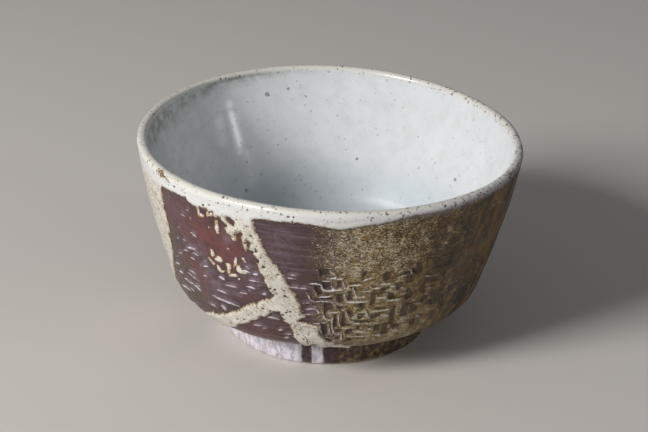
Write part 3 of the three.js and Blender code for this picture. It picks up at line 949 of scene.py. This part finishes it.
def ash_colour(on, c):
    """Grains of ash glaze from pale cream to olive black, darker to the right, where it runs together."""
    first, second, _ = on.cells(0.45, 8.0, (0.9, 0.9, 1.25))
    patch = on.clouds(3.0, 9.0, 4, 0.65, (1, 1, 0.8))
    fine = on.clouds(0.5, 10.0, 2, 0.7)
    calm = 1.0 - soft_step(on.up, 43.0, 50.0)
    loose = 1.0 - (on.gloom * 0.55 + calm * 0.5).clamp()
    tone = ((first - 0.5) * 0.85 + (fine - 0.5) * 0.8) * loose + (patch - 0.5) * 1.6
    tone = tone + 0.36 + on.gloom * 0.55 - on.ash * 0.06
    stops = [
        (0.05, c.ash_pale),
        (0.28, c.khaki),
        (0.45, c.ochre_ash),
        (0.60, c.brown),
        (0.78, c.olive),
        (0.95, c.iron),
    ]
    grains = on.wire.node("ShaderNodeValToRGB", {"stops": stops}, {"Fac": tone})
    yellow = on.blots(0.49, 0.62, 2.4, 10.5, 4, 0.65) * 0.55 * (1.0 - on.gloom * 0.6)
    grains = mix(yellow, grains, shade(c.ochre_ash, 1.3))
    runs = on.clouds(8.0, 11.0, 5, 0.68, (1.0, 1.0, 0.42))
    glass = mix(soft_step(runs, 0.38, 0.60), shade(c.glass, 0.25), shade(c.glass, 2.4))
    pools = on.blots(0.47, 0.60, 5.0, 12.0, 5, 0.68, (1, 1, 0.5))
    glass = mix(pools * 0.85, glass, shade(c.olive, 0.6))
    dry = on.blots(0.52, 0.70, 2.6, 13.0, 5, 0.7, (1, 1, 0.5))
    glass = mix(dry * 0.7, glass, shade(c.ochre_ash, 1.2))
    together = soft_step(on.gloom + (patch - 0.5) * 1.1 + (fine - 0.5) * 0.5, 0.45, 1.0)
    return mix(together, grains, glass), tone, second


def cream_colour(on, c):
    """Poured cream, whiter towards the lip, ochre where it thins, with pinholes and iron specks."""
    high = soft_step(on.up, 58.0, 65.0)
    base = mix(on.blots(0.35, 0.68, 5, 14.0, 4), c.cream, shade(c.cream, 0.86))
    base = mix(high, base, c.lip_white)
    base = mix(soft_step(on.up, 66.5, 68.0) * 0.8, base, c.cream)
    thin = on.blots(0.58, 0.74, 2.2, 15.0, 4, 0.65)
    base = mix(thin * 0.3 * (1.0 - high * 0.7), base, c.ochre)
    edge = 1.0 - soft_step(on.mark("cream") + on.drift(0.9, 16.0, 3) * 1.5, -0.1, 0.8)
    base = mix(edge * (0.4 + on.mark("fray") * 0.45), base, shade(c.ochre, 0.7))
    loose = on.mark("fray") * on.blots(0.34, 0.52, 3.0, 16.5, 3)
    loose = loose * (1.0 - soft_step(on.up, 60.5, 64.0))
    crumbs = soft_step(on.clouds(0.9, 17.0, 3, 0.7) + loose * loose * 0.17 + edge * 0.03, 0.75, 0.79)
    base = mix(loose * on.blots(0.50, 0.64, 0.8, 17.5, 3, 0.7) * 0.9, base, shade(c.ochre, 0.75))
    base = mix(crumbs * (0.45 + loose * 0.5) * (1.0 - high * 0.5), base, c.brown)
    base = mix(soft_step(on.mark("hole"), -0.16, 0.12) * 0.95, base, c.iron)
    base = mix(on.specks(2.2, 0.3, 0.16, 18.0) * 0.8, base, shade(c.brown, 0.6))
    grey = on.mark("grey")
    haze = grey * (1.0 - soft_step(on.mark("cream") + on.drift(2.0, 19.0, 3) * 2.4, -0.4, 2.6))
    return mix(haze * 0.8, base, c.violet_grey)


def lip_specks(on):
    """Iron specks along the lip, more of them on the grey side."""
    near = soft_step(on.up, 64.0, 66.0) * (1.0 - soft_step(on.up, 71.2, 72.6))
    grey = on.mark("grey")
    few = on.specks(1.5, 0.42, 0.42, 20.0)
    patches = on.blots(0.40, 0.60, 3.5, 20.5, 3)
    many = soft_step(on.clouds(1.3, 21.0, 4, 0.75) + patches * 0.05 + grey * 0.055, 0.635, 0.675)
    rust = on.mark("rust")
    wear_and_glint = soft_step(rust + on.drift(0.8, 22.0, 3, 0.7) * 2.4, 0.44, 0.56)
    wear_and_glint = wear_and_glint * soft_step(rust, 0.02, 0.12)
    return (few + many * 0.85).clamp() * near, wear_and_glint


def well_colour(on, c):
    """The pale inside with painted shade, a brown bloom under the lip and a scatter of fine specks."""
    base = mix(on.blots(0.35, 0.65, 13, 23.0, 3), c.inside, c.inside_deep)
    # Painted shade: darker and bluer towards the well's bottom
    base = mix(soft_step(on.up, 95.0, 112.0) * 0.85, base, c.inside_low_shade)
    # Painted shade: a darker, greener grey on the shaded patches
    shaded = on.mark("shaded")
    base = mix(shaded * 0.55, base, shade(c.inside_green, 0.72))
    green = on.blots(0.42, 0.68, 4.5, 24.0, 4, 0.6) * (0.2 + shaded * 0.5)
    base = mix(green, base, shade(c.inside_green, 0.8))
    violet = on.blots(0.48, 0.70, 5.5, 24.5, 3, 0.6) * (0.2 + shaded * 0.4)
    base = mix(violet, base, c.inside_violet)
    bloom = on.mark("bloom") * (0.25 + on.blots(0.36, 0.66, 3.2, 25.0, 5, 0.6) * 0.75)
    base = mix(bloom * 0.85, base, c.bloom)
    faint = on.specks(1.9, 0.42, 0.55, 27.0) * (0.2 + on.blots(0.4, 0.6, 9.0, 27.5) * 0.35)
    base = mix(on.specks(3.6, 0.62, 0.3, 26.0) * 0.28, base, c.bloom)
    base = mix(faint * 0.7, base, c.bloom)
    return mix(on.specks(6.5, 0.9, 0.26, 28.0) * 0.65, base, shade(c.inside_green, 0.2))


def foot_colour(on, c):
    """The foot ring: a pale violet wash with bare gaps, ash to the right and bare clay underneath."""
    wash = soft_step(on.mark("wash") + on.drift(1.6, 29.0, 4, 0.6, (1, 1, 0.35)), 0.22, 0.62)
    base = mix(on.blots(0.4, 0.65, 2.0, 30.0, 4), shade(c.purple, 0.6), shade(c.purple, 1.2))
    mottle = on.blots(0.38, 0.62, 1.8, 31.0, 4, 0.65)
    ash = mix(on.blots(0.4, 0.6, 1.5, 32.0, 3), c.brown, c.khaki)
    base = mix(on.ash * mottle, base, ash)
    streaks = on.blots(0.40, 0.62, 1.3, 33.0, 4, 0.65, (1, 1, 0.4))
    violet = mix(streaks, shade(c.wash, 1.1), shade(c.wash, 0.6))
    base = mix(wash, base, violet)
    clay = mix(on.blots(0.4, 0.7, 1.6, 34.0, 4), c.clay, shade(c.clay, 0.6))
    bare = 1.0 - soft_step(on.up + wash * 0.9 + on.drift(1.2, 35.0, 3) * 0.7, -8.3, -7.9)
    return mix(bare, base, clay), bare


def clay_colour(on, c):
    """Slip and ash together: their colour, the ash's cover and tone, and the slip's fine rows."""
    slip = slip_colour(on, c)
    ash, tone, chance = ash_colour(on, c)
    rows = on.clouds(0.7, 39.0, 2, 0.6, (0.04, 0.04, 1.0))
    cover = soft_step(on.ash * (1.15 + (rows - 0.5) * 1.8) - chance, 0.0, 0.09)
    dust = soft_step(on.clouds(0.4, 39.5, 2, 0.7) + on.ash * 0.4, 0.64, 0.70) * soft_step(on.ash, 0.0, 0.1)
    slip = mix(dust * 0.7, slip, shade(c.ash_pale, 0.6))
    return SimpleNamespace(colour=mix(cover, slip, ash), cover=cover, tone=tone, rows=rows)


def cut_masks(on):
    """Masks of the marks cut in the clay."""
    return SimpleNamespace(
        block=soft_step(on.mark("block") + on.drift(1.1, 40.0, 4, 0.65) * 1.1, -0.22, 0.22),
        scoop=soft_step(on.mark("scoop"), -0.2, 0.9),
        trench=soft_step(on.mark("trench"), -0.1, 0.28),
        line=soft_step(on.mark("line") + on.drift(0.7, 41.0) * 0.5, 0.02, 0.22),
        stroke=soft_step(on.mark("stroke") + on.drift(0.8, 42.0) * 0.35, 0.04, 0.22),
    )


def marked_colour(on, c, body, cut):
    """The clay's colour, with painted shade, sheen and highlight on its cut marks, the dark rim beside the
    cream, and the cream's shards.
    """
    rusty = on.blots(0.42, 0.6, 2.6, 43.0, 3)
    # Painted shadow in the trenches beside the raised lines; painted shade with darker glaze in the blocks
    recess_shade = mix(on.ash * (0.3 + rusty * 0.7), shade(c.purple, 0.38), shade(c.brown, 0.9))
    body = mix(cut.trench * 0.6 * (1.0 - on.gloom * 0.5), body, recess_shade)
    body = mix(cut.block * (0.9 - on.ash * 0.12), body, recess_shade)
    # Painted sheen in the scoops above the strokes
    body = mix(cut.scoop * 0.5, body, c.violet)
    rim = soft_step(on.mark("cream") + on.drift(0.8, 43.5, 3) * 0.8, -0.7, -0.1)
    body = mix(rim * 0.55, body, shade(c.umber, 0.6))
    pale = mix(on.ash * 0.85, c.lavender, c.cream)
    body = mix(cut.line * (1.0 - on.gloom * 0.6), body, pale)
    # Painted highlight on the strokes' lower edges, patchy in strength
    wear_and_glint = 0.5 + on.blots(0.40, 0.62, 3.5, 42.5, 2) * 0.5
    body = mix(cut.stroke * wear_and_glint, body, c.lavender)
    near = soft_step(on.mark("cream") + on.drift(1.6, 44.0, 4, 0.65) * 2.6, -2.2, 0.4)
    body = mix(on.mark("grey") * near * 0.75, body, c.violet_grey)
    spatter = on.mark("spatter")
    thin = soft_step(on.clouds(0.9, 45.0, 3) - spatter * 0.3, 0.36, 0.52)
    shards = soft_step(spatter + on.drift(0.7, 38.0, 4, 0.65) * 1.1, -0.1, 0.12)
    return mix(shards, body, mix(thin, c.cream, c.ochre))


def fine_relief(on, clay, cut, bare_foot):
    """Height in metres of everything that is too fine for the mesh."""
    body = (1.0 - on.is_inside) * (1.0 - on.is_cream)
    peel = on.drift(0.9, 48.0) * 0.012
    dents = on.drift(2.4, 49.0, 3, 0.6, (0.7, 0.7, 1.3)) * 0.30 * body * (1.0 - on.is_foot)
    speckle = clay.cover * (0.5 - clay.tone) * 0.14 * (1.0 - on.gloom)
    rings = (clay.rows - 0.5) * 0.06 * body * (1.0 - on.gloom * 0.8)
    cuts = ((cut.line + cut.stroke) * 0.16 - cut.block * 0.18 - cut.trench * 0.12) * body
    pits = soft_step(on.mark("hole"), -0.2, 0.1) * on.is_cream * -0.15
    clumps = on.drift(1.6, 50.0, 3, 0.6) * 0.10 * on.is_cream * (1.0 - soft_step(on.up, 58.0, 63.0))
    grit = bare_foot * on.drift(0.5, 51.0, 3) * 0.12
    leaning = on.mark("lean") * on.is_inside
    return (leaning + peel + dents + speckle + rings + cuts + pits + clumps + grit) * MM


def glaze_material(c):
    """All the bowl's glazes, told apart by the marks on its surface."""
    material = bpy.data.materials.new("bowl_glaze")
    material.use_nodes = True
    tree = material.node_tree
    tree.nodes.clear()
    on = Surface(tree)
    clay = clay_colour(on, c)
    cut = cut_masks(on)
    outer = mix(on.is_cream, marked_colour(on, c, clay.colour, cut), cream_colour(on, c))
    specks, wear_and_glint = lip_specks(on)
    rusted = mix(on.blots(0.45, 0.55, 0.5, 46.0), c.rust, shade(c.brown, 0.5))
    outer = mix(wear_and_glint * 0.9, outer, rusted)
    foot_glaze, bare_clay = foot_colour(on, c)
    bare_foot = bare_clay * on.is_foot
    colours = mix(on.is_inside, outer, well_colour(on, c))
    colours = mix(specks * 0.9, colours, shade(c.brown, 0.4))
    colours = mix(on.is_foot, colours, foot_glaze)

    rough = blend(on.is_inside, blend(on.is_cream, 0.34 + on.gloom * 0.12, 0.26), 0.14)
    rough = rough + on.drift(1.2, 47.0, 3) * 0.14 + clay.cover * (1.0 - on.gloom) * 0.06
    rough = blend(bare_foot, rough + soft_step(on.up, 104.0, 116.0) * 0.26, 0.75)
    height = fine_relief(on, clay, cut, bare_foot)
    bump = on.wire.node("ShaderNodeBump", None, {"Strength": 1.0, "Distance": 1.0, "Height": height})
    sockets = {"Base Color": colours, "Roughness": rough, "Normal": bump, "IOR": REFRACTION}
    shader = on.wire.node("ShaderNodeBsdfPrincipled", None, sockets)
    out = tree.nodes.new("ShaderNodeOutputMaterial")
    tree.links.new(shader.socket, out.inputs["Surface"])
    return material


def plain_material(name, rgb, roughness):
    material = bpy.data.materials.new(name)
    material.use_nodes = True
    shader = material.node_tree.nodes["Principled BSDF"]
    shader.inputs["Base Color"].default_value = (*rgb, 1)
    shader.inputs["Roughness"].default_value = roughness
    return material


def camera_matrix(t):
    """The camera looks at the foot's centre, then is panned, tilted and rolled."""
    place = Vector((0, -t.distance * math.cos(t.elevation), t.distance * math.sin(t.elevation)))
    look = -place.normalized()
    right = Vector((1, 0, 0))
    axes = Matrix((right, right.cross(look), look))
    cp, sp = math.cos(t.pan), math.sin(t.pan)
    ct, st = math.cos(t.tilt), math.sin(t.tilt)
    cr, sr = math.cos(t.roll), math.sin(t.roll)
    axes = Matrix(((cp, 0, -sp), (0, 1, 0), (sp, 0, cp))) @ axes
    axes = Matrix(((1, 0, 0), (0, ct, -st), (0, st, ct))) @ axes
    axes = Matrix(((cr, -sr, 0), (sr, cr, 0), (0, 0, 1))) @ axes
    turned = Matrix((axes[0], axes[1], -axes[2])).transposed()
    return Matrix.Translation(place) @ turned.to_4x4()


def aim(azimuth, elevation, distance):
    """A place seen from the bowl: azimuth from +Y towards +X, in degrees."""
    a, e = math.radians(azimuth), math.radians(elevation)
    level = distance * math.cos(e)
    return (level * math.sin(a), level * math.cos(a), distance * math.sin(e))


def add_light(name, place, target, size, power, tint):
    lamp = bpy.data.lights.new(name, "AREA")
    lamp.shape = "RECTANGLE"
    lamp.size, lamp.size_y = size
    lamp.energy = power
    lamp.color = tint
    light = bpy.data.objects.new(name, lamp)
    light.location = place
    light.rotation_euler = (Vector(target) - Vector(place)).to_track_quat("-Z", "Y").to_euler()
    bpy.context.scene.collection.objects.link(light)


class OBJECT_OT_tea_bowl(bpy.types.Operator):
    """Turns the bowl, presses its marks in and glazes it"""

    bl_idname = "object.make_tea_bowl"
    bl_label = "Tea bowl"

    def execute(self, context):
        scene = context.scene
        material = glaze_material(scene.bowl_colours)
        mesh = bowl_mesh(scene.bowl_sizes, scene.bowl_glaze, material)
        bowl = bpy.data.objects.new("stoneware_bowl", mesh)
        scene.collection.objects.link(bowl)
        if len(mesh.polygons) == 0:
            raise RuntimeError("the bowl has no faces")
        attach(bowl, "root")
        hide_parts("tea_bowl")
        return {"FINISHED"}


class OBJECT_OT_tea_bowl_stage(bpy.types.Operator):
    """Puts up the floor, the soft lights and the camera"""

    bl_idname = "object.make_tea_bowl_stage"
    bl_label = "Stage"

    def execute(self, context):
        scene = context.scene
        t = scene.bowl_stage
        half = t.floor_size / 2
        floor_mesh = bpy.data.meshes.new("floor")
        corners = [(-half, -half, 0), (half, -half, 0), (half, half, 0), (-half, half, 0)]
        floor_mesh.from_pydata(corners, [], [(0, 1, 2, 3)])
        paint = plain_material("floor_paint", scene.bowl_colours.floor, FLOOR_ROUGHNESS)
        floor_mesh.materials.append(paint)
        floor = bpy.data.objects.new("floor", floor_mesh)
        scene.collection.objects.link(floor)
        world = bpy.data.worlds.new("studio")
        world.use_nodes = True
        sky = world.node_tree.nodes["Background"]
        sky.inputs["Color"].default_value = (*SKY, 1)
        sky.inputs["Strength"].default_value = SKY_STRENGTH
        scene.world = world
        for name, azimuth, elevation, distance, size, power, tint in LIGHTS:
            add_light(name, aim(azimuth, elevation, distance), LIGHT_TARGET, size, power, tint)
        scene.view_settings.view_transform = "Standard"
        lens = bpy.data.cameras.new("photo_view")
        lens.sensor_width = SENSOR_WIDTH
        lens.lens = t.focal_widths * SENSOR_WIDTH
        camera = bpy.data.objects.new("photo_view", lens)
        camera.matrix_world = camera_matrix(t)
        scene.collection.objects.link(camera)
        scene.camera = camera
        return {"FINISHED"}


class VIEW3D_PT_tea_bowl(bpy.types.Panel):
    """The bowl's makers in the sidebar"""

    bl_label = "Tea bowl"
    bl_idname = "VIEW3D_PT_tea_bowl"
    bl_space_type = "VIEW_3D"
    bl_region_type = "UI"
    bl_category = "Tea bowl"

    def draw(self, context):
        for maker in MAKERS:
            self.layout.operator(maker.bl_idname)


MAKERS = (OBJECT_OT_tea_bowl, OBJECT_OT_tea_bowl_stage)
SETTINGS = {
    "bowl_sizes": BowlSizes,
    "bowl_glaze": GlazeSizes,
    "bowl_colours": GlazeColours,
    "bowl_stage": StageSettings,
}


def register():
    for kind in (*SETTINGS.values(), *MAKERS, VIEW3D_PT_tea_bowl):
        bpy.utils.register_class(kind)
    for name, kind in SETTINGS.items():
        setattr(bpy.types.Scene, name, bpy.props.PointerProperty(type=kind))


def unregister():
    for name in SETTINGS:
        delattr(bpy.types.Scene, name)
    for kind in reversed((*SETTINGS.values(), *MAKERS, VIEW3D_PT_tea_bowl)):
        bpy.utils.unregister_class(kind)


def main():
    register()
    bpy.ops.object.make_tea_bowl()
    bpy.ops.object.make_tea_bowl_stage()


if __name__ == "__main__":
    main()
